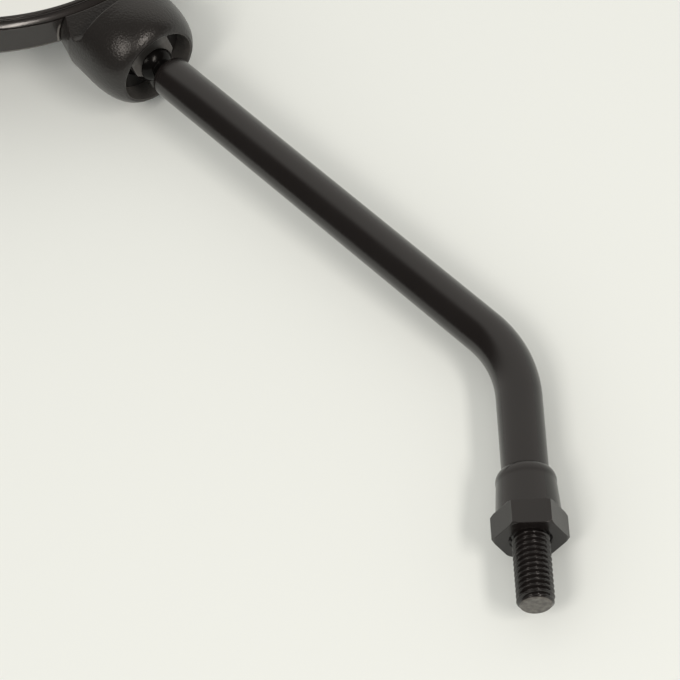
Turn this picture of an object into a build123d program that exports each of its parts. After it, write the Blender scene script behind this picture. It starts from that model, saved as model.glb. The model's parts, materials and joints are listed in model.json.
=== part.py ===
from build123d import *
import os
from math import asin, cos, degrees, radians, sin, sqrt, tan

# Round motorcycle mirror on a bent steel rod.
# Frame: the origin is the middle of the lock nut's seat, +Z runs up the threaded stud into
# the rod, the rod bends towards -X, and the glass looks towards -Y. Sizes are in millimetres.

# Rod, with its turned ball end and threaded stud
ROD_DIA = 10.0
LOWER_RUN = 35.0
BEND_RADIUS = 28.8
BEND_ANGLE = 39.2
UPPER_RUN = 110.3
ROD_END_ROUND = 1.3
NECK_DIA = 5.2
NECK_ROUND = 0.6
NECK_LENGTH = 6.7
BALL_DIA = 10.0
STUD_DIA = 8.0
STUD_LENGTH = 15.6
STUD_CHAMFER = 0.9
STUD_SHOULDER = 8.3
STUD_RELIEF_DIA = 7.0
STUD_RELIEF_LOW = 0.1
STUD_RELIEF_TOP = 0.8

# Lock nut: a hexagon with a tapered sleeve that covers the foot of the rod
HEX_ACROSS_FLATS = 14.0
HEX_HEIGHT = 5.8
HEX_TURN = 11.0
HEX_CHAMFER_DIA = 15.0
HEX_CHAMFER_ANGLE = 30.0
SLEEVE_DIA_LOW = 13.9
SLEEVE_DIA_TOP = 12.8
SLEEVE_HEIGHT = 13.2
NUT_HEIGHT = 15.8
NUT_MOUTH_WALL = 0.6
NUT_COUNTERSINK = 0.6
NUT_CLEARANCE = 0.05
NUT_FLOOR_GAP = 0.3

# How the head is set on the ball, and how far its edge is from the ball
HEAD_TURN = 16.0
HEAD_LEAN = 7.0
BALL_TO_HEAD_EDGE = 17.9

# Ball socket: a friction seat behind the ball, in an insert with a clawed jaw and a tongue
BALL_CLEARANCE = 0.12
SEAT_WALL = 1.1
SEAT_ANGLE = 55.0
SEAT_CLEARANCE = 0.15
SEAT_RECESS_ANGLE = 74.0
INSERT_DIA = 19.04
INSERT_FLOOR = 2.0
INSERT_TURN = -20.0
INSERT_BEAD_HEIGHT = 0.3
INSERT_BEAD_WIDTH = 1.2
INSERT_BEAD_DEPTH = 2.0
INSERT_CLEARANCE = 0.08
POCKET_FLOOR = 2.2
JAW_WIDTH = 10.8
JAW_SHELF = 1.6
JAW_SHELF_END = 4.7
CLAW_TOP = 2.9
CLAW_TIP_GAP = 0.2
CLAW_TIP_CHAMFER = 1.6
TONGUE_TOP = 2.2
TONGUE_WIDTH = 6.0
TONGUE_WALL = 1.6

# Boss: the barrel on the housing that holds the socket
BOSS_DIA = 26.6
BOSS_MOUTH_DEPTH = 2.9
BOSS_SHOULDER_TOP = 6.5
BOSS_SHOULDER_WIDTH = 4.2
BOSS_SHOULDER_LENGTH = 9.7
BOSS_BARREL_END = 14.5
BOSS_WAIST_END = 18.4
BOSS_WAIST_DIA = 24.5
BOSS_TAIL_END = 50.0
BOSS_TAIL_DIA = 10.0
BOSS_WALL = 2.4
BOSS_FLOOR = 2.5

# Housing: a shallow domed shell with a plain wall inside the bezel's skirt
HOUSING_WALL = 2.2
DOME_RIM_HEIGHT = 0.8
DOME_HEIGHT = 11.4
SNAP_BEAD_HEIGHT = 0.4
SNAP_BEAD_WIDTH = 1.2
SNAP_BEAD_FROM_EDGE = 1.2

# Glass with its foam seal, and the bezel that keeps them in
BEZEL_DIA = 114.2
SKIRT_WALL = 1.4
GLASS_INSET = 0.4
GLASS_THICKNESS = 2.0
GLASS_BULGE_RADIUS = 1200.0
GLASS_FRONT = -6.0
SEAL_THICKNESS = 0.8
LIP_OVERLAP = 0.8
LIP_INNER_RISE = 0.2
LIP_RISE = 0.5
LIP_ROUND = 0.5
LIP_DEPTH = 1.1
BEZEL_GROOVE_WIDTH = 0.5
BEZEL_GROOVE_DEPTH = 0.5
SKIRT_EDGE = 3.6
SKIRT_DRAFT = 0.5
SKIRT_ROUND = 0.5
SKIRT_END_ROUND = 0.3
BEZEL_CLEARANCE = 0.1
NOTCH_CLEARANCE = 0.25
RELIEF_WIDTH = 8.1
RELIEF_FLOOR = -5.0
RELIEF_FALL = 2.6
RELIEF_ROUND = 2.0

# Sizes that follow from the ones above
ROD_R = ROD_DIA / 2
BALL_R = BALL_DIA / 2
STUD_R = STUD_DIA / 2
RUN_OUT = UPPER_RUN + NECK_LENGTH
BEND = radians(BEND_ANGLE)
BEND_TANGENT = BEND_RADIUS * tan(BEND / 2)
BEND_CORNER = LOWER_RUN + BEND_TANGENT
STEM_UP = Vector(-sin(BEND), 0, cos(BEND))
STEM_SIDE = Vector(cos(BEND), 0, sin(BEND))
BALL_CENTRE = Vector(0, 0, BEND_CORNER) + STEM_UP * (BEND_TANGENT + RUN_OUT)

SOCKET_R = BALL_R + BALL_CLEARANCE
SEAT_R = SOCKET_R + SEAT_WALL
RECESS_R = SEAT_R + SEAT_CLEARANCE
INSERT_R = INSERT_DIA / 2
INSERT_BASE = RECESS_R + INSERT_FLOOR
INSERT_BEAD_AT = POCKET_FLOOR + INSERT_BEAD_DEPTH
BORE_R = INSERT_R + INSERT_CLEARANCE
BORE_FLOOR = INSERT_BASE + INSERT_CLEARANCE
BOSS_R = BOSS_DIA / 2

BEZEL_R = BEZEL_DIA / 2
CENTRE = BALL_TO_HEAD_EDGE + BEZEL_R
SKIRT_INNER_R = BEZEL_R - SKIRT_WALL
SKIRT_EDGE_R = BEZEL_R - SKIRT_DRAFT
WALL_R = SKIRT_INNER_R - BEZEL_CLEARANCE
WALL_INNER_R = WALL_R - HOUSING_WALL
GLASS_R = WALL_R - GLASS_INSET
GLASS_BACK = GLASS_FRONT + GLASS_THICKNESS
LIP_BACK = GLASS_FRONT + LIP_DEPTH
WALL_FRONT = GLASS_BACK + SEAL_THICKNESS
SNAP_BEAD_AT = SKIRT_EDGE - SNAP_BEAD_FROM_EDGE - SNAP_BEAD_WIDTH / 2
DOME_EDGE = SKIRT_EDGE + BEZEL_CLEARANCE
DOME_BACK = DOME_EDGE + DOME_RIM_HEIGHT + DOME_HEIGHT
RELIEF_R = BEZEL_R + RELIEF_WIDTH
RELIEF_LOW = RELIEF_FLOOR + RELIEF_FALL

# The stem's end: Z runs up the rod through the ball, Y to the back.
stem_end = Location(Plane(origin=BALL_CENTRE, x_dir=STEM_SIDE, z_dir=STEM_UP))
# The head's own frame: Z runs from the ball to the middle of the head, Y to its back.
head_frame = stem_end * Rotation(0, 0, HEAD_TURN) * Rotation(HEAD_LEAN, 0, 0)
boss_axis = Axis.Z
head_axis = Axis((0, 0, CENTRE), (0, 1, 0))


def turned(*outline):
    """A solid turned about the boss or rod axis, from an outline of (radius, height)."""
    return revolve(Plane.XZ * make_face(outline), axis=boss_axis)


def round_head(*outline):
    """A solid turned about the head's axis, from an outline of (radius, depth)."""
    return revolve(Pos(0, 0, CENTRE) * make_face(outline), axis=head_axis)


def on_sphere(radius, angle):
    """The point of a sphere's outline at an angle from the top."""
    return (radius * sin(radians(angle)), radius * cos(radians(angle)))


def sphere_arc(radius, start, end):
    """An arc of a sphere's outline between two angles from the top."""
    middle = on_sphere(radius, (start + end) / 2)
    return ThreePointArc(on_sphere(radius, start), middle, on_sphere(radius, end))


def cap_arc(edge_radius, edge, top):
    """A shallow dome's outline, from its edge to its top on the axis."""
    rise = top - edge
    sphere = (edge_radius**2 + rise**2) / (2 * rise)
    half = edge_radius / 2
    side = 1 if rise > 0 else -1
    middle = top - sphere + side * sqrt(sphere**2 - half**2)
    return ThreePointArc((edge_radius, edge), (half, middle), (0, top))


def stem_rod():
    """The bent rod, with its neck and ball turned on one end and the stud on the other."""
    turned_from = -NECK_LENGTH - 2 * ROD_END_ROUND
    run = FilletPolyline(
        (0, 0, STUD_SHOULDER),
        (0, 0, BEND_CORNER),
        BALL_CENTRE + STEM_UP * turned_from,
        radius=BEND_RADIUS,
    )
    rod = sweep(Pos(0, 0, STUD_SHOULDER) * Circle(ROD_R), path=run)
    neck = NECK_DIA / 2
    neck_meets_ball = -sqrt(BALL_R**2 - neck**2)
    rim = ROD_R - ROD_END_ROUND
    corner = ROD_END_ROUND * (1 - cos(radians(45)))
    hollow = NECK_ROUND * (1 - cos(radians(45)))
    ball_end = turned(
        Line((0, turned_from), (ROD_R, turned_from)),
        Line((ROD_R, turned_from), (ROD_R, -NECK_LENGTH - ROD_END_ROUND)),
        ThreePointArc(
            (ROD_R, -NECK_LENGTH - ROD_END_ROUND),
            (ROD_R - corner, -NECK_LENGTH - corner),
            (rim, -NECK_LENGTH),
        ),
        Line((rim, -NECK_LENGTH), (neck + NECK_ROUND, -NECK_LENGTH)),
        ThreePointArc(
            (neck + NECK_ROUND, -NECK_LENGTH),
            (neck + hollow, -NECK_LENGTH + hollow),
            (neck, -NECK_LENGTH + NECK_ROUND),
        ),
        Line((neck, -NECK_LENGTH + NECK_ROUND), (neck, neck_meets_ball)),
        ThreePointArc((neck, neck_meets_ball), (BALL_R, 0), (0, BALL_R)),
        Line((0, BALL_R), (0, turned_from)),
    )
    stud = turned(*Polyline(
        (0, -STUD_LENGTH),
        (STUD_R - STUD_CHAMFER, -STUD_LENGTH),
        (STUD_R, STUD_CHAMFER - STUD_LENGTH),
        (STUD_R, STUD_RELIEF_LOW),
        (STUD_RELIEF_DIA / 2, STUD_RELIEF_LOW),
        (STUD_RELIEF_DIA / 2, STUD_RELIEF_TOP),
        (STUD_R, STUD_RELIEF_TOP),
        (STUD_R, STUD_SHOULDER),
        (0, STUD_SHOULDER),
        close=True,
    ).edges())
    return rod + stem_end * ball_end + stud


def lock_nut():
    """The hexagon, chamfered on both faces, and the tapered sleeve above it, in one piece."""
    corner_r = HEX_ACROSS_FLATS / 2 / cos(radians(30))
    hexagon = extrude(
        RegularPolygon(HEX_ACROSS_FLATS / 2, 6, major_radius=False, rotation=HEX_TURN),
        amount=HEX_HEIGHT,
    )
    face_r = HEX_CHAMFER_DIA / 2
    drop = (corner_r - face_r) * tan(radians(HEX_CHAMFER_ANGLE))
    chamfered = turned(*Polyline(
        (0, 0), (face_r, 0), (corner_r, drop),
        (corner_r, HEX_HEIGHT - drop), (face_r, HEX_HEIGHT), (0, HEX_HEIGHT),
        close=True,
    ).edges())
    rod_bore = ROD_R + NUT_CLEARANCE
    mouth_r = rod_bore + NUT_MOUTH_WALL
    top_r = SLEEVE_DIA_TOP / 2
    bulge = (top_r - mouth_r) * (1 - cos(radians(45)))
    drop_top = (NUT_HEIGHT - SLEEVE_HEIGHT) * (1 - cos(radians(45)))
    sleeve = turned(
        Line((0, 0), (SLEEVE_DIA_LOW / 2, 0)),
        Line((SLEEVE_DIA_LOW / 2, 0), (SLEEVE_DIA_LOW / 2, HEX_HEIGHT)),
        Line((SLEEVE_DIA_LOW / 2, HEX_HEIGHT), (top_r, SLEEVE_HEIGHT)),
        ThreePointArc((top_r, SLEEVE_HEIGHT), (top_r - bulge, NUT_HEIGHT - drop_top), (mouth_r, NUT_HEIGHT)),
        Line((mouth_r, NUT_HEIGHT), (0, NUT_HEIGHT)),
        Line((0, NUT_HEIGHT), (0, 0)),
    )
    sleeve -= Pos(0, 0, HEX_HEIGHT / 2) * Box(SLEEVE_DIA_LOW, SLEEVE_DIA_LOW, HEX_HEIGHT)
    stud_bore = STUD_R + NUT_CLEARANCE
    bore_floor = STUD_SHOULDER - NUT_FLOOR_GAP
    bore = turned(*Polyline(
        (0, 0), (stud_bore + NUT_COUNTERSINK, 0), (stud_bore, NUT_COUNTERSINK),
        (stud_bore, bore_floor), (rod_bore, bore_floor), (rod_bore, NUT_HEIGHT), (0, NUT_HEIGHT),
        close=True,
    ).edges())
    return (hexagon & chamfered) + sleeve - bore


def friction_seat():
    """A thin spherical cap that lies between the ball and the floor of the insert."""
    return turned(
        sphere_arc(SOCKET_R, 0, SEAT_ANGLE),
        Line(on_sphere(SOCKET_R, SEAT_ANGLE), on_sphere(SEAT_R, SEAT_ANGLE)),
        sphere_arc(SEAT_R, SEAT_ANGLE, 0),
        Line((0, SEAT_R), (0, SOCKET_R)),
    )


def bead(radius, proud, middle, width):
    """Corners of a low bead round a turned piece, as (radius, height), from below to above."""
    return [
        (radius, middle - width / 2),
        (radius + proud, middle - width / 2 + proud),
        (radius + proud, middle + width / 2 - proud),
        (radius, middle + width / 2),
    ]


def clawed_jaw():
    """A block from the wall to the ball: a shelf, then a ramp up to two claws with cut tips."""
    half = JAW_WIDTH / 2
    shoulder = CLAW_TIP_GAP + CLAW_TIP_CHAMFER
    from_above = extrude(
        Pos(0, 0, -CLAW_TOP) * make_face(Polyline(
            (-half, -INSERT_R), (-half, -shoulder), (CLAW_TIP_CHAMFER - half, -CLAW_TIP_GAP),
            (half - CLAW_TIP_CHAMFER, -CLAW_TIP_GAP), (half, -shoulder), (half, -INSERT_R),
            close=True,
        )),
        amount=CLAW_TOP + POCKET_FLOOR,
    )
    from_side = extrude(
        Plane.YZ * make_face(Polyline(
            (-INSERT_R, POCKET_FLOOR), (-INSERT_R, -JAW_SHELF), (-JAW_SHELF_END, -JAW_SHELF),
            (-CLAW_TIP_GAP, -CLAW_TOP), (-CLAW_TIP_GAP, POCKET_FLOOR),
            close=True,
        )),
        amount=half,
        both=True,
    )
    within_bore = Pos(0, 0, -CLAW_TOP) * extrude(Circle(INSERT_R), amount=CLAW_TOP + POCKET_FLOOR)
    return from_above & from_side & within_bore


def socket_insert():
    """A round cup for the ball: its base in the bore, a clawed jaw and a springy tongue."""
    base = turned(*Polyline(
        (0, POCKET_FLOOR), (INSERT_R, POCKET_FLOOR),
        *bead(INSERT_R, INSERT_BEAD_HEIGHT, INSERT_BEAD_AT, INSERT_BEAD_WIDTH),
        (INSERT_R, INSERT_BASE), (0, INSERT_BASE),
        close=True,
    ).edges())
    reach = SOCKET_R + TONGUE_WALL
    tongue = Pos(0, reach / 2, (POCKET_FLOOR - TONGUE_TOP) / 2) * Box(
        TONGUE_WIDTH, reach, POCKET_FLOOR + TONGUE_TOP
    )
    recess = turned(
        Line((0, 0), on_sphere(RECESS_R, SEAT_RECESS_ANGLE)),
        sphere_arc(RECESS_R, SEAT_RECESS_ANGLE, 0),
        Line((0, RECESS_R), (0, 0)),
    )
    set_round = Rotation(0, 0, INSERT_TURN)
    body = base + set_round * clawed_jaw() + set_round * tongue
    return body - Sphere(SOCKET_R) - recess


def boss_outer(grow=0.0):
    """The barrel with its rounded shoulder and a tail that runs into the dome, or a larger copy."""
    # The shoulder is a quarter of an ellipse, cut short at the mouth.
    mouth_angle = degrees(asin((BOSS_SHOULDER_TOP + BOSS_MOUTH_DEPTH) / BOSS_SHOULDER_LENGTH))
    shoulder = EllipticalCenterArc(
        (BOSS_R + grow - BOSS_SHOULDER_WIDTH, BOSS_SHOULDER_TOP),
        BOSS_SHOULDER_WIDTH,
        BOSS_SHOULDER_LENGTH,
        start_angle=-mouth_angle,
        arc_size=mouth_angle,
    )
    return turned(
        Line((0, -BOSS_MOUTH_DEPTH), shoulder @ 0),
        shoulder,
        *Polyline(
            shoulder @ 1,
            (BOSS_R + grow, BOSS_BARREL_END),
            (BOSS_WAIST_DIA / 2 + grow, BOSS_WAIST_END),
            (BOSS_TAIL_DIA / 2 + grow, BOSS_TAIL_END),
            (0, BOSS_TAIL_END),
            (0, -BOSS_MOUTH_DEPTH),
        ).edges(),
    )


def behind(depth):
    """All the space near the boss that lies behind a plane across the head's axis."""
    size = 2 * CENTRE
    return Pos(0, depth + size / 2, 0) * Box(size, size, size)


def boss_core():
    """The hollow behind the socket's floor, open to the inside of the head."""
    core = turned(*Polyline(
        (0, BORE_FLOOR + BOSS_FLOOR), (BOSS_R - BOSS_WALL, BORE_FLOOR + BOSS_FLOOR),
        (BOSS_R - BOSS_WALL, BOSS_BARREL_END), (BOSS_WAIST_DIA / 2 - BOSS_WALL, BOSS_WAIST_END),
        (BOSS_TAIL_DIA / 2 - BOSS_WALL, BOSS_TAIL_END),
        (0, BOSS_TAIL_END),
        close=True,
    ).edges())
    return core & behind(RELIEF_LOW + BOSS_WALL)


def socket_bore():
    """The bore that takes the insert, with a groove for the insert's bead."""
    return turned(*Polyline(
        (0, -BOSS_MOUTH_DEPTH), (BORE_R, -BOSS_MOUTH_DEPTH),
        *bead(BORE_R, INSERT_BEAD_HEIGHT, INSERT_BEAD_AT, INSERT_BEAD_WIDTH + 2 * INSERT_CLEARANCE),
        (BORE_R, BORE_FLOOR), (0, BORE_FLOOR),
        close=True,
    ).edges())


def bezel_relief():
    """What is cut from the boss so that bezel, glass and seal stand clear of it."""
    clear_front = -BOSS_DIA
    lip_r = BEZEL_R + BEZEL_CLEARANCE
    lip_back = LIP_BACK + BEZEL_GROOVE_WIDTH + BEZEL_CLEARANCE
    step = FilletPolyline(
        (RELIEF_R, clear_front), (RELIEF_R, RELIEF_LOW), (lip_r, RELIEF_FLOOR), radius=RELIEF_ROUND
    )
    return round_head(
        Line((0, clear_front), (RELIEF_R, clear_front)),
        *step.edges(),
        Line((lip_r, RELIEF_FLOOR), (lip_r, lip_back)),
        Line((lip_r, lip_back), (SKIRT_INNER_R, lip_back)),
        Line((SKIRT_INNER_R, lip_back), (SKIRT_INNER_R, WALL_FRONT)),
        Line((SKIRT_INNER_R, WALL_FRONT), (0, WALL_FRONT)),
        Line((0, WALL_FRONT), (0, clear_front)),
    )


def housing():
    """The moulded back: domed shell, wall and boss in one piece."""
    dome_start = DOME_EDGE + DOME_RIM_HEIGHT
    wall = Polyline(
        (0, WALL_FRONT), (WALL_R, WALL_FRONT),
        *bead(WALL_R, SNAP_BEAD_HEIGHT, SNAP_BEAD_AT, SNAP_BEAD_WIDTH),
        (WALL_R, dome_start),
    )
    shell = round_head(
        *wall.edges(),
        cap_arc(WALL_R, dome_start, DOME_BACK),
        Line((0, DOME_BACK), (0, WALL_FRONT)),
    )
    hollow = round_head(
        Line((0, WALL_FRONT), (WALL_INNER_R, WALL_FRONT)),
        Line((WALL_INNER_R, WALL_FRONT), (WALL_INNER_R, dome_start - DOME_RIM_HEIGHT)),
        cap_arc(WALL_INNER_R, dome_start - DOME_RIM_HEIGHT, DOME_BACK - HOUSING_WALL),
        Line((0, DOME_BACK - HOUSING_WALL), (0, WALL_FRONT)),
    )
    body = shell + boss_outer()
    return body - hollow - boss_core() - socket_bore() - bezel_relief()


def from_head_axis(edge):
    """How far the middle of an edge is from the head's axis."""
    middle = edge @ 0.5
    return sqrt(middle.X**2 + (middle.Z - CENTRE) ** 2)


def bezel():
    """The front ring: a sloping lip over the glass, a groove, and a skirt round the wall."""
    lip_inner = GLASS_R - LIP_OVERLAP
    lip_back = GLASS_FRONT - BEZEL_CLEARANCE
    lip_front = GLASS_FRONT - LIP_RISE
    lip_corner = LIP_ROUND * (1 - cos(radians(45)))
    groove_back = LIP_BACK + BEZEL_GROOVE_WIDTH
    groove_r = BEZEL_R - BEZEL_GROOVE_DEPTH
    edge_corner = SKIRT_ROUND * (1 - cos(radians(45)))
    ring = round_head(
        *Polyline(
            (SKIRT_INNER_R, lip_back), (lip_inner, lip_back),
            (lip_inner, lip_back - LIP_INNER_RISE), (BEZEL_R - LIP_ROUND, lip_front),
        ).edges(),
        ThreePointArc(
            (BEZEL_R - LIP_ROUND, lip_front),
            (BEZEL_R - lip_corner, lip_front + lip_corner),
            (BEZEL_R, lip_front + LIP_ROUND),
        ),
        *Polyline(
            (BEZEL_R, lip_front + LIP_ROUND), (BEZEL_R, LIP_BACK), (groove_r, LIP_BACK),
            (groove_r, groove_back), (BEZEL_R, groove_back), (SKIRT_EDGE_R, SKIRT_EDGE - SKIRT_ROUND),
        ).edges(),
        ThreePointArc(
            (SKIRT_EDGE_R, SKIRT_EDGE - SKIRT_ROUND),
            (SKIRT_EDGE_R - edge_corner, SKIRT_EDGE - edge_corner),
            (SKIRT_EDGE_R - SKIRT_ROUND, SKIRT_EDGE),
        ),
        *Polyline(
            (SKIRT_EDGE_R - SKIRT_ROUND, SKIRT_EDGE), (SKIRT_INNER_R, SKIRT_EDGE),
            (SKIRT_INNER_R, lip_back),
        ).edges(),
    )
    notched = ring - (boss_outer(NOTCH_CLEARANCE) & behind(groove_back + BEZEL_CLEARANCE))
    beside_boss = notched.edges().filter_by_position(Axis.X, -BOSS_DIA, BOSS_DIA)
    outside = [
        edge for edge in beside_boss
        if edge.bounding_box().size.Y > BEZEL_CLEARANCE
        and from_head_axis(edge) > SKIRT_INNER_R + BEZEL_CLEARANCE
    ]
    snap_groove = round_head(*Polyline(
        *bead(SKIRT_INNER_R, SNAP_BEAD_HEIGHT, SNAP_BEAD_AT, SNAP_BEAD_WIDTH), close=True
    ).edges())
    return fillet(outside, SKIRT_END_ROUND) - snap_groove


def mirror_glass():
    """A slightly bulged round pane of even thickness."""
    rise = GLASS_BULGE_RADIUS - sqrt(GLASS_BULGE_RADIUS**2 - GLASS_R**2)
    return round_head(
        cap_arc(GLASS_R, GLASS_FRONT, GLASS_FRONT - rise),
        Line((0, GLASS_FRONT - rise), (0, GLASS_BACK - rise)),
        cap_arc(GLASS_R, GLASS_BACK, GLASS_BACK - rise),
        Line((GLASS_R, GLASS_BACK), (GLASS_R, GLASS_FRONT)),
    )


def glass_seal():
    """A flat foam ring between the glass and the front edge of the wall."""
    return round_head(*Polyline(
        (WALL_INNER_R, GLASS_BACK), (GLASS_R, GLASS_BACK),
        (GLASS_R, WALL_FRONT), (WALL_INNER_R, WALL_FRONT),
        close=True,
    ).edges())


nodes = {
    "stem_rod": stem_rod(),
    "lock_nut": lock_nut(),
    "friction_seat": head_frame * friction_seat(),
    "socket_insert": head_frame * socket_insert(),
    "housing": head_frame * housing(),
    "bezel": head_frame * bezel(),
    "mirror_glass": head_frame * mirror_glass(),
    "glass_seal": head_frame * glass_seal(),
}
os.makedirs("parts", exist_ok=True)
for name, solid in nodes.items():
    export_step(solid, f"parts/{name}.step")
    print(name, round(solid.volume, 1), "mm3")
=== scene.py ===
# %% [markdown]
# # A motorcycle mirror, dressed for a photograph
# The CAD model already holds every solid at its true size. Three of them are made again here
# as finer meshes, because their looks need it: the rod gets its thread, the glass a surface
# without facets, and the bezel a lip that rolls over softly. Then every piece gets its
# finish, and the table, the light and the camera are set up. Everything is in the CAD model's
# own frame: the stud points down, the rod bends towards -X, and the glass looks towards -Y.

# %% Load the frame
import json

import bpy
import numpy as np
from mathutils import Matrix, Vector

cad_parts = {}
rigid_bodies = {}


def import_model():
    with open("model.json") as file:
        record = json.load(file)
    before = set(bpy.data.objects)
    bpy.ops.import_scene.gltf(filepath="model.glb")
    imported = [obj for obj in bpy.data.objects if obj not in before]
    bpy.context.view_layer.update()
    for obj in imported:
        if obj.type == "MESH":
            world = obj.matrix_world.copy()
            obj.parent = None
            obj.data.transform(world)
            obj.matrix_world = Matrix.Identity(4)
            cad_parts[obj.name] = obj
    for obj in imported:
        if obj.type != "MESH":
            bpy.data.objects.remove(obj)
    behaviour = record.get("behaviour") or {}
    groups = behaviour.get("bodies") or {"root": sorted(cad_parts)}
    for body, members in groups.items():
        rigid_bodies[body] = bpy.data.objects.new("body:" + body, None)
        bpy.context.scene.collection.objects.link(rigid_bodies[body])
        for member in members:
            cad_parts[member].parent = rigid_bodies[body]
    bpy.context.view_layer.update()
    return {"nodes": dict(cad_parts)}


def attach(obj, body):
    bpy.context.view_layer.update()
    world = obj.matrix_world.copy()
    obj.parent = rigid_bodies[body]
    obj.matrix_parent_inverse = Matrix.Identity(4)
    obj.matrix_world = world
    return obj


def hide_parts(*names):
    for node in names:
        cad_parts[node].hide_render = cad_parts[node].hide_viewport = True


for leftover in list(bpy.data.objects):
    bpy.data.objects.remove(leftover)
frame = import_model()
nodes = frame["nodes"]
MM = 0.001
print("CAD nodes:", sorted(nodes))

# %% [markdown]
# ## The rod's centre line
# The rod is one steel bar: straight up from the stud, one bend, then straight to the ball.
# A bent bar is a circle carried along a line, so the first thing to know is the line: for
# any distance along the bar, where its middle is and which way it runs. Shapes are worked out
# in millimetres, and turned into metres when they become a mesh.

# %% Centre line of the rod
LOWER_RUN = 35.0
BEND_RADIUS = 28.8
BEND_ANGLE = np.radians(39.2)
UPPER_RUN = 110.3
NECK_LENGTH = 6.7
BEND_LENGTH = BEND_RADIUS * BEND_ANGLE
ROD_END = LOWER_RUN + BEND_LENGTH + UPPER_RUN
BALL_AT = ROD_END + NECK_LENGTH


def centre_line(along):
    """Middle of the bar and its direction at each distance from the nut's lower face.

    Below the bend the line is the Z axis. In the bend the angle turned is the distance into
    the bend over its radius, and the point is on a circle beside the axis. After the bend it
    goes straight on in the last direction.
    """
    turned = np.clip((along - LOWER_RUN) / BEND_RADIUS, 0.0, BEND_ANGLE)
    straight = along - LOWER_RUN - BEND_RADIUS * turned
    direction = np.stack([-np.sin(turned), np.zeros_like(turned), np.cos(turned)], axis=-1)
    bent = np.stack(
        [
            -BEND_RADIUS * (1 - np.cos(turned)),
            np.zeros_like(turned),
            LOWER_RUN + BEND_RADIUS * np.sin(turned),
        ],
        axis=-1,
    )
    return bent + straight[:, None] * direction, direction


print(f"along the bar, in mm: rod's end at {ROD_END:.1f}, ball's middle at {BALL_AT:.1f}")

# %% [markdown]
# ## A turned bar as a grid
# The bar's outline is a list of distances and radii. Carried along the centre line, each
# row of the grid is a ring. Rings are closed round the bar, and a point at each end closes
# the two faces. The thread needs a radius that changes round the ring as well, so the
# radius is a whole grid, one number for each vertex.

# %% Grid of rings
ROUND = 96
SHARP_ANGLE = np.radians(35)


def add_piece(name, points, faces):
    """A piece from points in millimetres and lists of corner numbers.

    It is shaded smooth, except over edges that turn by more than the sharp angle.
    """
    mesh = bpy.data.meshes.new(name)
    mesh.from_pydata((points * MM).tolist(), [], faces)
    mesh.shade_smooth()
    mesh.set_sharp_from_angle(angle=SHARP_ANGLE)
    piece = bpy.data.objects.new(name, mesh)
    bpy.context.scene.collection.objects.link(piece)
    print(name, "has", len(mesh.polygons), "faces")
    return piece


def quads(index):
    """The four corner numbers of each cell in a grid of vertex numbers."""
    cells = np.stack([index[:-1, :-1], index[:-1, 1:], index[1:, 1:], index[1:, :-1]], axis=-1)
    return cells.reshape(-1, 4).tolist()


def closed_rings(name, points, foot, top):
    """A piece from rings of points: quads join the rings, and triangles close both ends."""
    rows, steps, _ = points.shape
    index = np.arange(rows * steps).reshape(rows, steps)
    ahead = np.roll(index, -1, axis=1)
    foot_fan = np.stack([np.full(steps, rows * steps), ahead[0], index[0]], axis=-1)
    top_fan = np.stack([np.full(steps, rows * steps + 1), index[-1], ahead[-1]], axis=-1)
    vertices = np.vstack([points.reshape(-1, 3), foot, top])
    sides = quads(np.hstack([index, index[:, :1]]))
    return add_piece(name, vertices, sides + foot_fan.tolist() + top_fan.tolist())


def ring_mesh(name, along, radius):
    """Mesh of rings: ring i has its middle at along[i] and the radii radius[i], all round.

    A vertex is the middle, plus the radius times (cosine of the turn times a side vector,
    plus sine of the turn times the Y axis).
    """
    middle, direction = centre_line(along)
    back = np.array([0.0, 1.0, 0.0])
    side = np.cross(back, direction)
    turn = np.linspace(0.0, 2 * np.pi, ROUND, endpoint=False)
    out = np.cos(turn)[None, :, None] * side[:, None, :] + np.sin(turn)[None, :, None] * back
    points = middle[:, None, :] + radius[:, :, None] * out
    return closed_rings(name, points, middle[0], middle[-1])


# %% [markdown]
# ## The thread
# On the real bar the stud's thread is rolled: a ridge that climbs 1.25 mm in a turn, with
# flat crests and wider flat roots. In the grid, the place on that ridge is the height over
# the pitch, less the share of a turn: whole numbers are crests.

# %% Thread
STUD_R = 4.0
STUD_TIP = -15.6
STUD_CHAMFER = 0.9
RELIEF_LOW, RELIEF_TOP = 0.1, 0.8
PITCH = 1.25
THREAD_DEPTH = 0.767
CREST_SHARE, ROOT_SHARE = 0.125, 0.25
ROWS_PER_TURN = 14


def thread_depth(along):
    """Depth below the crest, for every height and every share of a turn.

    The place on the ridge is height over pitch, less the share of a turn. Its distance from
    the nearest whole number, doubled, is 0 on a crest and 1 in a root. The flank falls
    evenly between the crest's flat and the root's flat.
    """
    share = np.arange(ROUND) / ROUND
    place = along[:, None] / PITCH - share[None, :]
    from_crest = 2 * np.abs(place - np.round(place))
    flank = (from_crest - CREST_SHARE) / (1 - CREST_SHARE - ROOT_SHARE)
    return THREAD_DEPTH * np.clip(flank, 0.0, 1.0)


thread_rows = int((RELIEF_LOW - STUD_TIP) / PITCH * ROWS_PER_TURN)
thread_at = np.linspace(STUD_TIP, RELIEF_LOW, thread_rows)
tip_limit = STUD_R - np.clip(STUD_CHAMFER - (thread_at - STUD_TIP), 0.0, None)
thread_r = np.minimum(STUD_R - thread_depth(thread_at), tip_limit[:, None])
print("thread:", thread_r.shape, "radii, the least", thread_r.min().round(3), "mm")

# %% [markdown]
# ## Rod, neck and ball
# Above the thread the bar is plain round stock. A relief groove ends the thread, a shoulder
# starts the rod, and the rod's far end is turned down to a neck and a ball. So the rest of
# the outline is straight runs and arcs of a circle, one radius for each ring.

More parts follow.
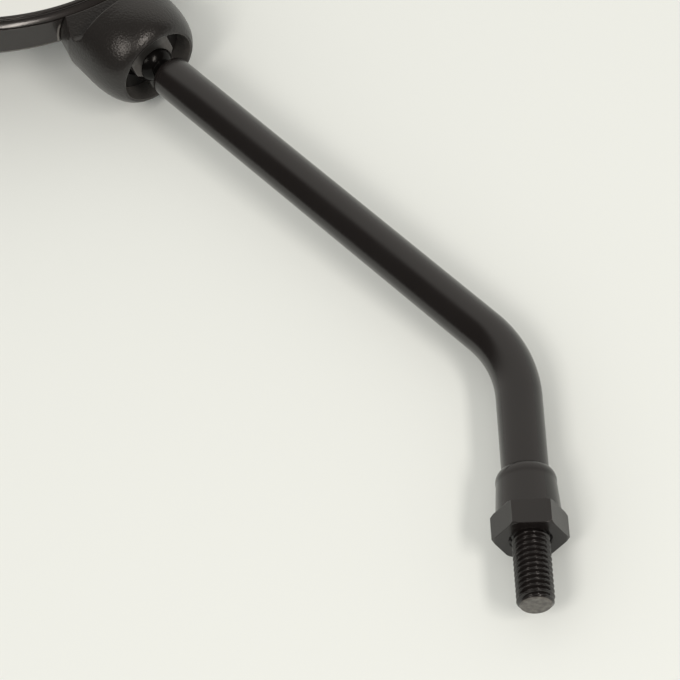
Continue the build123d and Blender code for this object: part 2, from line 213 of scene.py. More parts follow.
# %% Outline of the bar
ROD_R = 5.0
ROD_END_ROUND = 1.3
NECK_R = 2.6
NECK_ROUND = 0.6
BALL_R = 5.0
RELIEF_R = 3.5
STUD_SHOULDER = 8.3
BEND_ROWS, UPPER_ROWS = 48, 8
CORNER_ROWS, HOLLOW_ROWS, BALL_ROWS = 8, 6, 40
LAST_BALL_ANGLE = 2  # degrees from the ball's far end


def rounded(start, end, rows):
    """Angles from start to end in degrees, as radians."""
    return np.radians(np.linspace(start, end, rows))


relief = [(RELIEF_LOW, RELIEF_R), (RELIEF_TOP, RELIEF_R), (RELIEF_TOP, STUD_R)]
shoulder = [(STUD_SHOULDER, STUD_R), (STUD_SHOULDER, ROD_R), (LOWER_RUN, ROD_R)]
bend_at = LOWER_RUN + BEND_LENGTH * np.arange(1, BEND_ROWS + 1) / BEND_ROWS
upper_at = LOWER_RUN + BEND_LENGTH + UPPER_RUN * np.arange(1, UPPER_ROWS) / UPPER_ROWS
rod_at = np.concatenate([bend_at, upper_at])
rod_run = np.stack([rod_at, np.full_like(rod_at, ROD_R)], axis=-1)
corner = rounded(0, 90, CORNER_ROWS)
end_round = np.stack(
    [ROD_END - ROD_END_ROUND * (1 - np.sin(corner)), ROD_R - ROD_END_ROUND * (1 - np.cos(corner))],
    axis=-1,
)
hollow = rounded(90, 0, HOLLOW_ROWS)
neck_round = np.stack(
    [ROD_END + NECK_ROUND * (1 - np.sin(hollow)), NECK_R + NECK_ROUND * (1 - np.cos(hollow))],
    axis=-1,
)
neck_meets_ball = np.degrees(np.arcsin(NECK_R / BALL_R))
ball = rounded(180 - neck_meets_ball, LAST_BALL_ANGLE, BALL_ROWS)
ball_round = np.stack([BALL_AT + BALL_R * np.cos(ball), BALL_R * np.sin(ball)], axis=-1)
outline = np.vstack([relief, shoulder, rod_run, end_round, neck_round, ball_round])

# %% The rod
rod = ring_mesh(
    "bent_rod",
    np.concatenate([thread_at, outline[:, 0]]),
    np.vstack([thread_r, np.repeat(outline[:, 1:], ROUND, axis=1)]),
)
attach(rod, "stem")
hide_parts("stem_rod")

# %% [markdown]
# ## The head's own directions
# Glass and bezel are round about the head's own axis, which leans in the frame. So they are
# worked out from three directions: along the boss away from the ball, to the head's side, and
# to its back. Depths are counted from the ball towards the back, so the front is below zero.

# %% Directions and centre of the head
BALL = np.array([-80.429, 0.0, 143.871])
BOSS_AXIS = np.array([-0.601287, -0.117148, 0.790399])
HEAD_SIDE = np.array([0.744924, 0.275637, 0.607546])
TO_THE_BACK = np.array([-0.289036, 0.954097, -0.07847])
BALL_TO_BEZEL = 17.9
BEZEL_R = 57.1
HEAD_CENTRE = BALL + (BALL_TO_BEZEL + BEZEL_R) * BOSS_AXIS
HEAD_ROUND = 256


def head_points(radius, depth, turn):
    """Points round the head's axis: turn 0 is away from the ball, and depth is to the back.

    A point is the centre, plus the radius times (cosine of the turn times the boss's
    direction, plus sine of the turn times the side), plus the depth times the back.
    """
    out = np.cos(turn)[..., None] * BOSS_AXIS + np.sin(turn)[..., None] * HEAD_SIDE
    return HEAD_CENTRE + radius[..., None] * out + depth[..., None] * TO_THE_BACK


print("the head's centre, mm:", HEAD_CENTRE.round(2))

# %% [markdown]
# ## The glass
# The pane is a slightly bulged mirror. A mirror shows every facet, so it gets a fine grid of
# rings, from its middle out over the front, and back to the middle over the rear face.

# %% Glass pane
GLASS_R = 55.2
GLASS_FRONT = -6.0
GLASS_THICKNESS = 2.0
GLASS_BULGE_RADIUS = 1200.0
GLASS_RINGS = 27


def glass_pane():
    """A pane of even thickness on a sphere.

    The sphere's height at a radius is the root of its own radius squared less that radius
    squared. A point's depth is the front's depth at the edge, less its height above the edge.
    """
    radius = np.linspace(0.0, GLASS_R, GLASS_RINGS + 1)[1:]
    edge = np.sqrt(GLASS_BULGE_RADIUS**2 - GLASS_R**2)
    front = GLASS_FRONT + edge - np.sqrt(GLASS_BULGE_RADIUS**2 - radius**2)
    rows = np.concatenate([radius, radius[::-1]])
    depth = np.concatenate([front, front[::-1] + GLASS_THICKNESS])
    turn = np.linspace(0.0, 2 * np.pi, HEAD_ROUND, endpoint=False)
    grid = np.broadcast_arrays(rows[:, None], depth[:, None], turn[None, :])
    apex = GLASS_FRONT + edge - GLASS_BULGE_RADIUS
    ends = HEAD_CENTRE + np.outer([apex, apex + GLASS_THICKNESS], TO_THE_BACK)
    return closed_rings("glass_pane", head_points(*grid), ends[0], ends[1])


pane = glass_pane()
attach(pane, "head")
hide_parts("mirror_glass")

# %% [markdown]
# ## The bezel's lip
# The lip rolls over in one soft curve from the glass down to a groove. At a certain lean of
# that curve the right-hand lamp is mirrored, which draws a bright line along the lip. The
# curve is in the mesh, not only in the shading.

# %% Lip and groove
LIP_INNER_R = 54.4
LIP_BACK = -4.9
LIP_LEAN_IN, LIP_LEAN_OUT = 5.0, 50.0
LIP_UNDER = -6.1
LIP_ROWS = 24
GROOVE_R = 56.6
GROOVE_BACK = -4.4
INTO_THE_SKIRT = 0.1
SKIRT_INNER_R = 55.7


def lip_loop():
    """Points and quads of the lip and groove, a closed outline carried all the way round.

    The lip is an arc whose lean grows evenly. Its radius is the lip's width over the
    difference of the sines of the first and last lean.
    """
    lean = rounded(LIP_LEAN_IN, LIP_LEAN_OUT, LIP_ROWS)
    roll = (BEZEL_R - LIP_INNER_R) / (np.sin(lean[-1]) - np.sin(lean[0]))
    arc = np.stack(
        [
            LIP_INNER_R + roll * (np.sin(lean) - np.sin(lean[0])),
            LIP_BACK - roll * (np.cos(lean) - np.cos(lean[-1])),
        ],
        axis=-1,
    )
    groove_end = GROOVE_BACK + INTO_THE_SKIRT
    groove = [(GROOVE_R, LIP_BACK), (GROOVE_R, groove_end), (SKIRT_INNER_R, groove_end)]
    under = [(SKIRT_INNER_R, LIP_UNDER), (LIP_INNER_R, LIP_UNDER)]
    loop = np.vstack([arc, groove, under])
    turn = np.linspace(0.0, 2 * np.pi, HEAD_ROUND, endpoint=False)
    grid = np.broadcast_arrays(loop[:, :1], loop[:, 1:], turn[None, :])
    index = np.arange(len(loop) * HEAD_ROUND).reshape(len(loop), HEAD_ROUND)
    index = np.vstack([index, index[:1]])
    return head_points(*grid).reshape(-1, 3), quads(np.hstack([index, index[:, :1]]))


# %% [markdown]
# ## The bezel's skirt
# Behind the groove a skirt runs back over the housing, and stops on either side of the boss.
# The boss is a cone, so the notch in the skirt is wider at some depths than at others: each
# row of the grid runs round only as far as the notch leaves it room.

# %% Skirt and its notch
SKIRT_EDGE_R = 56.6
SKIRT_EDGE = 3.6
SKIRT_ROUND = 0.5
SKIRT_ROWS, SKIRT_CORNER_ROWS = 10, 7
NOTCH_R = 12.5
NOTCH_FROM = 18.4
NOTCH_TAPER = 0.2294
NOTCH_TRIES = 6


def notch_turn(radius, depth):
    """Half the angle that the notch leaves out, at a radius and depth.

    The boss is a cone about its own axis, so the notch is as wide as the cone's chord at
    that depth. The cone's radius depends on the angle in turn, so it is worked out again a
    few times, from the angle before.
    """
    angle = np.zeros_like(radius)
    for _ in range(NOTCH_TRIES):
        height = np.linalg.norm(HEAD_CENTRE - BALL) - radius * np.cos(angle)
        cone = NOTCH_R - NOTCH_TAPER * (height - NOTCH_FROM)
        angle = np.arcsin(np.sqrt(cone**2 - depth**2) / radius)
    return angle


def skirt_loop(first):
    """Points and faces of the skirt, numbered from first: an outer and an inner wall.

    The outer radius falls evenly from the groove to the back edge, and then follows a
    quarter circle. The inner radius is the same all the way.
    """
    corner = rounded(0, 90, SKIRT_CORNER_ROWS)
    corner_from = SKIRT_EDGE - SKIRT_ROUND
    straight = np.linspace(GROOVE_BACK, corner_from, SKIRT_ROWS)[:-1]
    depth = np.concatenate([straight, SKIRT_EDGE - SKIRT_ROUND * (1 - np.sin(corner))])
    outer = np.concatenate(
        [
            np.interp(straight, [GROOVE_BACK, corner_from], [BEZEL_R, SKIRT_EDGE_R]),
            SKIRT_EDGE_R - SKIRT_ROUND * (1 - np.cos(corner)),
        ]
    )
    rows = len(depth)
    radius = np.concatenate([outer, np.full(rows, SKIRT_INNER_R)])
    depth = np.concatenate([depth, depth[::-1]])
    gap = notch_turn(radius, depth)[:, None]
    share = np.linspace(-1.0, 1.0, HEAD_ROUND)[None, :]
    grid = np.broadcast_arrays(radius[:, None], depth[:, None], share * (np.pi - gap))
    index = first + np.arange(2 * rows * HEAD_ROUND).reshape(2 * rows, HEAD_ROUND)
    ends = np.stack([index[:rows], index[rows:][::-1]], axis=-1)
    caps = quads(ends[:, -1]) + quads(ends[:, 0, ::-1])
    return head_points(*grid).reshape(-1, 3), quads(np.vstack([index, index[:1]])) + caps


# %% The bezel
def bezel_ring():
    """The lip and the skirt in one piece."""
    lip, lip_faces = lip_loop()
    skirt, skirt_faces = skirt_loop(len(lip))
    return add_piece("bezel_ring", np.vstack([lip, skirt]), lip_faces + skirt_faces)


ring = bezel_ring()
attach(ring, "head")
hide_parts("bezel")

# %% [markdown]
# ## Finishes
# Each finish is a small node tree on the piece's own Object coordinates, so a pattern stays
# with its piece. A few helpers keep the trees short. The first three fill an input, start a
# material and add a node, and the others add the nodes that come up again and again.

# %% Helpers for node trees
# The numbers of a Mix node's two inputs and its output, for numbers and for colours.
MIX_SOCKETS = {"FLOAT": (2, 3, 0), "RGBA": (6, 7, 2)}


def fill(finish, target, value):
    """Links an output to an input, or sets the input's plain value; a colour gets alpha 1."""
    if isinstance(value, bpy.types.NodeSocket):
        finish.node_tree.links.new(value, target)
    elif target.type == "RGBA":
        target.default_value = (*value, 1.0)
    else:
        target.default_value = value


def new_finish(name, colour, roughness, **plain):
    """A material with the given base colour, roughness and other plain shader numbers."""
    finish = bpy.data.materials.new(name)
    finish.use_nodes = True
    shader = finish.node_tree.nodes["Principled BSDF"]
    fill(finish, shader.inputs["Base Color"], colour)
    fill(finish, shader.inputs["Roughness"], roughness)
    for socket, value in plain.items():
        fill(finish, shader.inputs[socket.replace("_", " ")], value)
    return finish, shader


def add_node(finish, kind, settings=None, **inputs):
    """A new node in the tree of a material or the world, with its inputs filled by name."""
    made = finish.node_tree.nodes.new(kind)
    for key, value in (settings or {}).items():
        setattr(made, key, value)
    for socket, value in inputs.items():
        fill(finish, made.inputs[socket.replace("_", " ")], value)
    return made


def combine(finish, operation, *values):
    """A calculation with outputs or plain numbers, such as the larger of two or a product."""
    made = add_node(finish, "ShaderNodeMath", {"operation": operation})
    for target, value in zip(made.inputs, values):
        fill(finish, target, value)
    return made.outputs["Value"]


def measure(finish, operation, *vectors):
    """A calculation with vectors: their difference or a product, or the length of one."""
    made = add_node(finish, "ShaderNodeVectorMath", {"operation": operation})
    for target, vector in zip(made.inputs, vectors):
        fill(finish, target, vector)
    return made.outputs["Value" if operation in ("DOT_PRODUCT", "LENGTH") else "Vector"]


def blend(finish, share, first, second, kind="RGBA"):
    """A colour, or with kind FLOAT a number, between two of them by a share from 0 to 1."""
    made = add_node(finish, "ShaderNodeMix", {"data_type": kind}, Factor=share)
    first_at, second_at, result_at = MIX_SOCKETS[kind]
    fill(finish, made.inputs[first_at], first)
    fill(finish, made.inputs[second_at], second)
    return made.outputs[result_at]


def spread(finish, value, low, high, to_low, to_high):
    """A value between low and high, carried evenly to between to_low and to_high."""
    made = add_node(
        finish, "ShaderNodeMapRange",
        Value=value, From_Min=low, From_Max=high, To_Min=to_low, To_Max=to_high,
    )
    return made.outputs["Result"]


def fade(finish, value, off, full):
    """A share that is 0 where the value is off, 1 where it is full, and even in between."""
    return spread(finish, value, off, full, 0.0, 1.0)


# %% Helpers for places and patterns
CLOUD_LOW, CLOUD_HIGH = 0.3, 0.7
EDGE_SAMPLES = 8
# Limits of the share for a painted edge highlight, by how far a shaded edge leans.
EDGE_HIGHLIGHT_OFF, EDGE_HIGHLIGHT_FULL = 0.9, 0.75


def place(finish):
    """Object coordinates of the piece, in metres."""
    return add_node(finish, "ShaderNodeTexCoord").outputs["Object"]


def height_of(finish, where):
    """How far each point lies above the nut's lower face, in metres."""
    return add_node(finish, "ShaderNodeSeparateXYZ", Vector=where).outputs["Z"]


def past(finish, where, start, direction):
    """How far each point lies past a start point along a direction, in metres."""
    return measure(finish, "DOT_PRODUCT", measure(finish, "SUBTRACT", where, start), direction)


def noise(finish, where, scale, detail):
    """Soft random clouds between 0 and 1, finer for a larger scale."""
    made = add_node(finish, "ShaderNodeTexNoise", Vector=where, Scale=scale, Detail=detail)
    return made.outputs["Fac"]


def uneven(finish, where, scale, detail, low, high):
    """Soft random clouds, carried from the range they mostly keep to, to low and high."""
    return spread(finish, noise(finish, where, scale, detail), CLOUD_LOW, CLOUD_HIGH, low, high)


def skin(finish, shader, height, strength, depth, edge_round):
    """Bumps the surface by a height pattern, over edges that the shading rounds off.

    Gives the share for a painted edge highlight: 0 on open ground, and up to 1 where the
    rounded-off normal leans away from the true one, which is at the edges. The lean is the dot
    product of both.
    """
    bevel = add_node(finish, "ShaderNodeBevel", {"samples": EDGE_SAMPLES}, Radius=edge_round)
    eased = bevel.outputs["Normal"]
    bump = add_node(
        finish, "ShaderNodeBump", Strength=strength, Distance=depth, Height=height, Normal=eased
    )
    fill(finish, shader.inputs["Normal"], bump.outputs["Normal"])
    true = add_node(finish, "ShaderNodeNewGeometry").outputs["Normal"]
    return fade(finish, measure(finish, "DOT_PRODUCT", eased, true), EDGE_HIGHLIGHT_OFF, EDGE_HIGHLIGHT_FULL)


# %% [markdown]
# ## Black paint
# Rod and nut are sprayed black and baked. Such paint is nearly smooth: what shows is a
# slightly uneven gloss, and a very shallow orange peel. The stud's end was cut after
# painting, so the bare steel of its face shows. The ball is given a darker base than the
# paint and a weaker reflection, so it shows dark in its socket.

# %% Black paint
PAINT_BLACK = (0.0092, 0.0076, 0.0073)
PAINT_ROUGHNESS = 0.2
TIGHT_EDGE, SOFT_EDGE = 0.2 * MM, 1.3 * MM
SOFTENS_OVER = 1.0 * MM


def black_paint(name, soft_above=None):
    """Dark base under an uneven gloss and a shallow peel.

    The shading rounds edges off tightly, and softly above a height where one is given.
    Gives the finish, its shader and its gloss.
    """
    finish, shader = new_finish(name, PAINT_BLACK, PAINT_ROUGHNESS)
    where = place(finish)
    edge_round = TIGHT_EDGE
    if soft_above is not None:
        soft_full = soft_above + SOFTENS_OVER
        height = height_of(finish, where)
        edge_round = spread(finish, height, soft_above, soft_full, TIGHT_EDGE, SOFT_EDGE)
    peel = noise(finish, where, scale=1400.0, detail=2.0)
    skin(finish, shader, peel, strength=0.12, depth=0.04 * MM, edge_round=edge_round)
    gloss = uneven(finish, where, scale=55.0, detail=4.0, low=0.17, high=0.25)
    fill(finish, shader.inputs["Roughness"], gloss)
    return finish, shader, gloss


# %% The rod's tip and ball
UP_THE_ROD = (-np.sin(BEND_ANGLE), 0.0, np.cos(BEND_ANGLE))
BALL_PLACE = BALL * MM
# The ball's end is darker than the paint, and mirrors less.
BALL_BLACK = (0.003, 0.0027, 0.0026)
DULL_OFF, DULL_FULL = -6.2 * MM, -5.5 * MM
FULL_SHINE, BALL_SHINE = 0.5, 0.12
STEEL_DARK, STEEL_PALE = (0.06, 0.058, 0.053), (0.14, 0.136, 0.124)
STEEL_ROUGHNESS = 0.45
BARE_OFF, BARE_FULL = -15.25 * MM, -15.45 * MM
SCUFF_OFF, SCUFF_FULL = 0.35, 0.65


def rod_finish():
    """The paint, with a tip of scuffed bare steel at one end and a dull ball at the other."""
    finish, shader, gloss = black_paint("rod_paint")
    where = place(finish)
    dull = fade(finish, past(finish, where, BALL_PLACE, UP_THE_ROD), DULL_OFF, DULL_FULL)
    bare = fade(finish, height_of(finish, where), BARE_OFF, BARE_FULL)
    scuffed = fade(finish, noise(finish, where, scale=900.0, detail=6.0), SCUFF_OFF, SCUFF_FULL)
    steel = blend(finish, scuffed, STEEL_DARK, STEEL_PALE)
    black = blend(finish, dull, PAINT_BLACK, BALL_BLACK)
    fill(finish, shader.inputs["Base Color"], blend(finish, bare, black, steel))
    roughness = blend(finish, bare, gloss, STEEL_ROUGHNESS, kind="FLOAT")
    fill(finish, shader.inputs["Roughness"], roughness)
    shine = spread(finish, dull, 0.0, 1.0, FULL_SHINE, BALL_SHINE)
    fill(finish, shader.inputs["Specular IOR Level"], shine)
    return finish


# %% [markdown]
# ## Grained plastic
# The housing is moulded in a tool with an etched skin, so it has a fine pebble grain that
# breaks up its highlights. Its edges are painted paler, a painted highlight where light
# catches them. Its bore is painted a shade lighter, as painted light where the lamp reaches
# into it. The bore isn't a piece of its own, so the finish finds it by place: near the boss's
# axis, and not past the bore's floor.

# %% Grained plastic
BORE_R = 9.7 * MM
BORE_FLOOR = 8.8 * MM
HOUSING_BLACK = (0.0128, 0.0114, 0.0108)
# A painted highlight, for the housing's edges:
HOUSING_PAINTED_HIGHLIGHT = (0.06, 0.056, 0.053)
HOUSING_ROUGHNESS = 0.37
# Painted light, for the inside of the bore:
BORE_PAINTED_LIGHT = (0.09, 0.087, 0.083)
FINE_GRAIN_SHARE = 0.5


def from_boss_axis(finish, where):
    """Distance from the boss's axis: the length of a cross product with its direction."""
    from_ball = measure(finish, "SUBTRACT", where, BALL_PLACE)
    return measure(finish, "LENGTH", measure(finish, "CROSS_PRODUCT", from_ball, BOSS_AXIS))


def in_bore(finish, where):
    """1 inside the socket's bore: near the boss's axis, and not past the bore's floor."""
    near = combine(finish, "LESS_THAN", from_boss_axis(finish, where), BORE_R)
    along = past(finish, where, BALL_PLACE, BOSS_AXIS)
    return combine(finish, "MULTIPLY", near, combine(finish, "LESS_THAN", along, BORE_FLOOR))


def grained_plastic():
    """Pebble grain: rounded Voronoi cells of about 0.5 mm, with finer noise over them."""
    finish, shader = new_finish("housing_grain", HOUSING_BLACK, HOUSING_ROUGHNESS)
    where = place(finish)
    cells = add_node(
        finish, "ShaderNodeTexVoronoi", {"feature": "SMOOTH_F1"},
        Vector=where, Scale=2000.0, Smoothness=0.6,
    )
    fine = noise(finish, where, scale=5000.0, detail=3.0)
    grain = combine(finish, "MULTIPLY_ADD", fine, FINE_GRAIN_SHARE, cells.outputs["Distance"])
    painted_edge_highlight = skin(finish, shader, grain, strength=0.4, depth=0.12 * MM, edge_round=0.4 * MM)
    # Painted highlight: paler colour on the edges, where light catches them.
    outside = blend(finish, painted_edge_highlight, HOUSING_BLACK, HOUSING_PAINTED_HIGHLIGHT)
    # Painted light: the bore is a shade lighter, where the lamp reaches into it.
    colour = blend(finish, in_bore(finish, where), outside, BORE_PAINTED_LIGHT)
    fill(finish, shader.inputs["Base Color"], colour)
    gloss = uneven(finish, where, scale=90.0, detail=3.0, low=0.28, high=0.36)
    fill(finish, shader.inputs["Roughness"], gloss)
    return finish


# %% [markdown]
# ## Smooth plastics
# The bezel comes from a smoother tool than the housing and is glossier. The socket's insert is
# dark grey, with painted shade in its pockets and between its claws and a painted highlight
# on the claws' edges, and the seat behind the ball is natural nylon. All three have the same
# faint skin, so one helper makes it, and each adds its own colours.

# %% Smooth plastics
def smooth_plastic(name, colour, low, high, edge_round):
    """Moulded plastic with an even colour, a gloss between low and high, and a faint skin."""
    finish, shader = new_finish(name, colour, (low + high) / 2)
    where = place(finish)
    gloss = uneven(finish, where, scale=120.0, detail=3.0, low=low, high=high)
    fill(finish, shader.inputs["Roughness"], gloss)
    fine = noise(finish, where, scale=2600.0, detail=2.0)
    painted_edge_highlight = skin(finish, shader, fine, strength=0.2, depth=0.02 * MM, edge_round=edge_round)
    # It also gives the share for a painted edge highlight, for the caller to use.
    return finish, shader, painted_edge_highlight


# %% The insert's plastic
JAW_SIDE = (0.798854, -0.067301, 0.597743)
CLAW_GREY = (0.078, 0.076, 0.073)
# A painted highlight for the claws' edges, and painted shade for the pockets and the middle:
CLAW_PAINTED_HIGHLIGHT = (0.2, 0.195, 0.19)
POCKET_PAINTED_SHADE = (0.02, 0.0192, 0.0185)
DEEP_SHADE_OFF, DEEP_SHADE_FULL = 0.0, 1.9 * MM
MIDDLE_SHADE_OFF, MIDDLE_SHADE_FULL = 4.0 * MM, 2.4 * MM


def clawed_plastic():
    """The insert's grey plastic, with painted shade deep in the pockets and between the claws,
    which lie to either side of the jaw's middle, and a painted highlight on the claws' edges."""
    finish, shader, painted_edge_highlight = smooth_plastic("socket_grey", CLAW_GREY, 0.34, 0.44, 0.3 * MM)
    where = place(finish)
    along = past(finish, where, BALL_PLACE, BOSS_AXIS)
    aside = combine(finish, "ABSOLUTE", past(finish, where, BALL_PLACE, JAW_SIDE))
    # Painted shade: darker deep in the pockets and in the jaw's middle between the claws.
    deep = fade(finish, along, DEEP_SHADE_OFF, DEEP_SHADE_FULL)
    middle = fade(finish, aside, MIDDLE_SHADE_OFF, MIDDLE_SHADE_FULL)
    # Painted highlight: paler at the claws' edges.
    grey = blend(finish, painted_edge_highlight, CLAW_GREY, CLAW_PAINTED_HIGHLIGHT)
    colour = blend(finish, combine(finish, "MAXIMUM", deep, middle), grey, POCKET_PAINTED_SHADE)
    fill(finish, shader.inputs["Base Color"], colour)
    return finish


# %% The bezel's plastic
BEZEL_BLACK = (0.019, 0.0168, 0.016)
# A painted highlight for the skirt's back edge and ends:
BEZEL_PAINTED_HIGHLIGHT = (0.17, 0.165, 0.155)
BACK_EDGE_OFF, BACK_EDGE_FULL = 3.0 * MM, 3.4 * MM
ENDS_OFF, ENDS_FULL = 12.9 * MM, 12.6 * MM
SKIRT_OFF, SKIRT_FULL = -3.0 * MM, -2.0 * MM


def bezel_plastic():
    """The bezel's black plastic, with a painted highlight along the back edge of its skirt,
    and at the skirt's two ends, where it is nearest to the boss's axis."""
    finish, shader, _ = smooth_plastic("bezel_satin", BEZEL_BLACK, 0.17, 0.24, 0.2 * MM)
    where = place(finish)
    depth = past(finish, where, BALL_PLACE, TO_THE_BACK)
    back_edge = fade(finish, depth, BACK_EDGE_OFF, BACK_EDGE_FULL)
    ends = fade(finish, from_boss_axis(finish, where), ENDS_OFF, ENDS_FULL)
    skirt_ends = combine(finish, "MULTIPLY", ends, fade(finish, depth, SKIRT_OFF, SKIRT_FULL))
    # Painted highlight: paler along the skirt's back edge and at its ends, where light catches
    # them.
    painted_edge_highlight = combine(finish, "MAXIMUM", back_edge, skirt_ends)
    fill(finish, shader.inputs["Base Color"], blend(finish, painted_edge_highlight, BEZEL_BLACK, BEZEL_PAINTED_HIGHLIGHT))
    return finish


# %% [markdown]
# ## Glass and seal
# The pane is silvered, so what shows is a metal mirror with the faint tint of the glass in
# front of it. The seal is black foam, open-celled and fully matt.

# %% Glass and foam
SILVER = (0.86, 0.88, 0.87)
SILVER_ROUGHNESS = 0.02
FOAM_BLACK = (0.02, 0.02, 0.02)
FOAM_ROUGHNESS = 0.9


def silvered_glass():
    """A mirror whose roughness varies only by a trace, as dust on a pane makes it do."""
    finish, shader = new_finish("silvered_glass", SILVER, SILVER_ROUGHNESS, Metallic=1.0)
    dust = uneven(finish, place(finish), scale=60.0, detail=5.0, low=0.015, high=0.035)
    fill(finish, shader.inputs["Roughness"], dust)
    return finish


def open_foam():
    """Matt black with round cells of about 0.4 mm."""
    finish, shader = new_finish("open_foam", FOAM_BLACK, FOAM_ROUGHNESS)
    cells = add_node(finish, "ShaderNodeTexVoronoi", Vector=place(finish), Scale=2500.0)
    bump = add_node(
        finish, "ShaderNodeBump", Strength=0.6, Distance=0.2 * MM, Height=cells.outputs["Distance"]
    )
    fill(finish, shader.inputs["Normal"], bump.outputs["Normal"])
    return finish


# %% [markdown]
# ## Each finish on its piece
# The three new pieces get their finish as their first material. A CAD node comes with a plain
# material, which is taken off first. The nut's sleeve is rounded at its top, so from partway
# up the sleeve its edges are shaded softly.

# %% Finishes on their pieces
NYLON = (0.55, 0.53, 0.48)
SLEEVE_SOFT_ABOVE = 9.0 * MM

finishes = {
    "lock_nut": black_paint("nut_paint", soft_above=SLEEVE_SOFT_ABOVE)[0],
    "housing": grained_plastic(),
    "socket_insert": clawed_plastic(),
    "friction_seat": smooth_plastic("seat_nylon", NYLON, 0.4, 0.5, 0.2 * MM)[0],
    "glass_seal": open_foam(),
}
for name, finish in finishes.items():
    nodes[name].data.materials.clear()
    nodes[name].data.materials.append(finish)
rod.data.materials.append(rod_finish())
pane.data.materials.append(silvered_glass())
ring.data.materials.append(bezel_plastic())
print("finished:", sorted(finishes), "and", rod.name, pane.name, ring.name)

# %% [markdown]
# ## Table
# The mirror lies on a pale table, which in the part's own frame stands upright behind it.
# The table is close behind the nut, and touches the back of the head. It shows only from its
# front, so the part can also be looked at from behind. Where the ball joint swings the head
# back past the table, the table opens, so that the head isn't cut off. Soft light passes
# through it too, so that the part's back isn't left dark.

# %% Table
TABLE_NUT = np.array([0.0, 8.3, 3.0]) * MM
TABLE_NORMAL = np.array([-0.1017, -0.9947, -0.0179])
TABLE_HALF = 1.6


def table_sheet():
    """A square through a point just behind the nut, with its normal towards the mirror."""
    up = np.array([0.0, 0.0, 1.0])
    across = np.cross(up, TABLE_NORMAL)
    across /= np.linalg.norm(across)
    upward = np.cross(TABLE_NORMAL, across)
    corner = np.array([(-1, -1), (1, -1), (1, 1), (-1, 1)]) * TABLE_HALF
    points = TABLE_NUT + corner[:, :1] * across + corner[:, 1:] * upward
    mesh = bpy.data.meshes.new("table")
    mesh.from_pydata(points.tolist(), [], [(0, 1, 2, 3)])
    sheet = bpy.data.objects.new("table", mesh)
    bpy.context.scene.collection.objects.link(sheet)
    return sheet


table = table_sheet()
print("table:", 2 * TABLE_HALF, "m wide")

# %% The table's finish
PALE = (0.767, 0.81, 0.807)
TABLE_ROUGHNESS = 0.6
TABLE_GLOW = 0.03
OPEN_REACH = 0.15
OPEN_SAMPLES = 8
OPEN_OFF, OPEN_FULL = 0.97, 0.9


def pale_table():
    """Pale, with a faint glow to the camera and in mirrors; clear where it is not to be seen.

    It is clear from behind, to soft light and shadows, and where something of the part is
    near behind it: there the share of open air within reach falls below a limit.
    """
    finish, shader = new_finish("pale_table", PALE, TABLE_ROUGHNESS, Emission_Color=PALE)
    ray = add_node(finish, "ShaderNodeLightPath").outputs
    seen = combine(finish, "MAXIMUM", ray["Is Camera Ray"], ray["Is Glossy Ray"])
    fill(finish, shader.inputs["Emission Strength"], combine(finish, "MULTIPLY", seen, TABLE_GLOW))
    surface = add_node(finish, "ShaderNodeNewGeometry").outputs
    backward = measure(finish, "MULTIPLY", surface["Normal"], (-1.0, -1.0, -1.0))
    air = add_node(
        finish, "ShaderNodeAmbientOcclusion", {"samples": OPEN_SAMPLES},
        Distance=OPEN_REACH, Normal=backward,
    )
    opened = fade(finish, air.outputs["AO"], OPEN_OFF, OPEN_FULL)
    soft = combine(finish, "MAXIMUM", ray["Is Diffuse Ray"], ray["Is Shadow Ray"])
    behind = combine(finish, "MAXIMUM", surface["Backfacing"], opened)
    sides = add_node(
        finish, "ShaderNodeMixShader", Fac=combine(finish, "MAXIMUM", behind, soft)
    )
    fill(finish, sides.inputs[1], shader.outputs["BSDF"])
    fill(finish, sides.inputs[2], add_node(finish, "ShaderNodeBsdfTransparent").outputs["BSDF"])
    output = finish.node_tree.nodes["Material Output"]
    fill(finish, output.inputs["Surface"], sides.outputs["Shader"])
    return finish


table.data.materials.append(pale_table())

# %% [markdown]
# ## Soft boxes
# Black gloss shows its surroundings more than its own colour, so the light is made in two
# parts. The first is two soft boxes, left and right of the camera. They make the sheen on the
# boss and the bright line on the bezel's lip.

# %% Soft boxes
HEAD_MIDDLE = Vector((-0.1255, -0.0088, 0.2032))
LAMP_WARMTH = (1.0, 0.92, 0.84)
LAMP_DISTANCE = 2.0


def soft_box(name, direction, width, height, radiance):
    """A lamp facing the part; its power is radiance times pi times its area."""
    lamp = bpy.data.lights.new(name, "AREA")
    lamp.shape = "RECTANGLE"
    lamp.size, lamp.size_y = width, height
    lamp.energy = radiance * np.pi * width * height
    lamp.color = LAMP_WARMTH
    box = bpy.data.objects.new(name, lamp)
    towards = Vector(direction).normalized()
    box.location = HEAD_MIDDLE + towards * LAMP_DISTANCE
    box.rotation_euler = (-towards).to_track_quat("-Z", "Y").to_euler()
    bpy.context.scene.collection.objects.link(box)
    print(name, "gives", round(lamp.energy, 1), "W")


soft_box("left_box", (-0.30, -0.75, -0.58), width=0.7, height=0.7, radiance=6.5)
soft_box("right_box", (0.52, -0.66, -0.52), width=0.24, height=0.75, radiance=23.0)

# %% [markdown]
# ## Studio sky
# The second part is the world. It gives the soft, even light of a studio, and the
# reflections: pale overhead, which is what the glass and the front of the nut mirror, and
# dark towards the camera.

# %% Studio sky
WARM_WHITE = (0.83, 0.80, 0.745)
SKY_LOW, SKY_HIGH = 0.28, 0.5
SKY_DARK, SKY_PALE = 0.1, 1.1
SKY_EVEN, SKY_SEEN = 0.8, 1.0


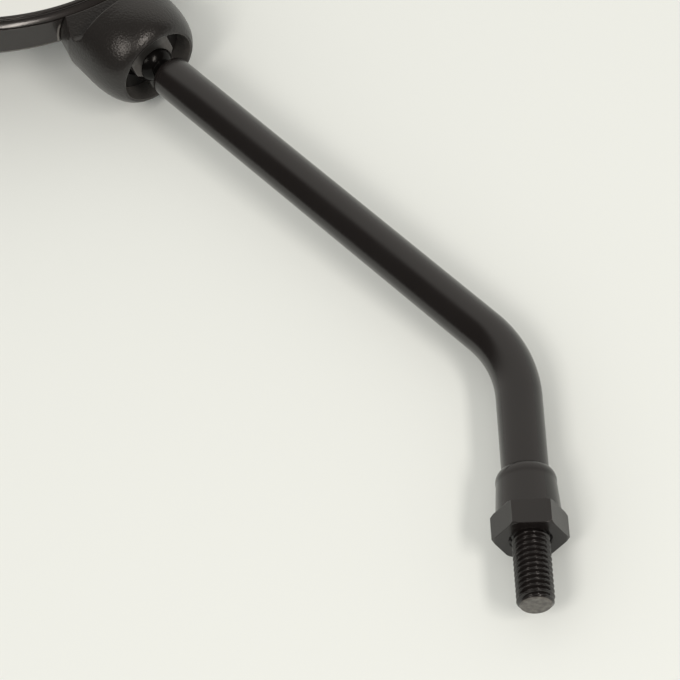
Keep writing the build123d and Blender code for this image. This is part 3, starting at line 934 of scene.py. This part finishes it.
def studio_sky():
    """Strength by ray: 1 to the camera, even for soft light, and for mirrored rays a pale
    upper part that fades to dark between two heights of the ray's direction."""
    world = bpy.data.worlds.new("studio")
    world.use_nodes = True
    sky = world.node_tree.nodes["Background"]
    fill(world, sky.inputs["Color"], WARM_WHITE)
    ray = add_node(world, "ShaderNodeLightPath").outputs
    aim = add_node(world, "ShaderNodeTexCoord").outputs["Generated"]
    height = add_node(world, "ShaderNodeSeparateXYZ", Vector=aim).outputs["Z"]
    mirrored = add_node(
        world, "ShaderNodeMapRange", {"interpolation_type": "SMOOTHSTEP"},
        Value=height, From_Min=SKY_LOW, From_Max=SKY_HIGH, To_Min=SKY_DARK, To_Max=SKY_PALE,
    ).outputs["Result"]
    unseen = blend(world, ray["Is Glossy Ray"], SKY_EVEN, mirrored, kind="FLOAT")
    strength = blend(world, ray["Is Camera Ray"], unseen, SKY_SEEN, kind="FLOAT")
    fill(world, sky.inputs["Strength"], strength)
    return world


bpy.context.scene.world = studio_sky()
print("world:", bpy.context.scene.world.name)

# %% [markdown]
# ## Camera
# The camera's place, its turn and its lens were worked out from the outlines of the rod,
# the stud and the hexagon in the photograph: it looks up at the part from below its stud.

# %% Camera
EYE = Vector((0.05379, -0.53738, -0.32001))
PICTURE_RIGHT = Vector((0.9808, 0.1920, -0.0350))
PICTURE_DOWN = Vector((-0.1375, 0.5523, -0.8222))
PICTURE_IN = Vector((-0.1385, 0.8112, 0.5681))
LENS_MM = 161.03
SENSOR_MM = 36.0
NEAREST, FURTHEST = 0.01, 20.0

camera = bpy.data.objects.new("camera", bpy.data.cameras.new("camera"))
camera.data.sensor_width = SENSOR_MM
camera.data.lens = LENS_MM
camera.data.clip_start, camera.data.clip_end = NEAREST, FURTHEST
turn = Matrix((PICTURE_RIGHT, -PICTURE_DOWN, -PICTURE_IN)).transposed().to_4x4()
camera.matrix_world = Matrix.Translation(EYE) @ turn
bpy.context.scene.collection.objects.link(camera)
bpy.context.scene.camera = camera
bpy.context.scene.view_settings.view_transform = "Standard"
print("camera:", round((EYE - HEAD_MIDDLE).length, 3), "m from the head")
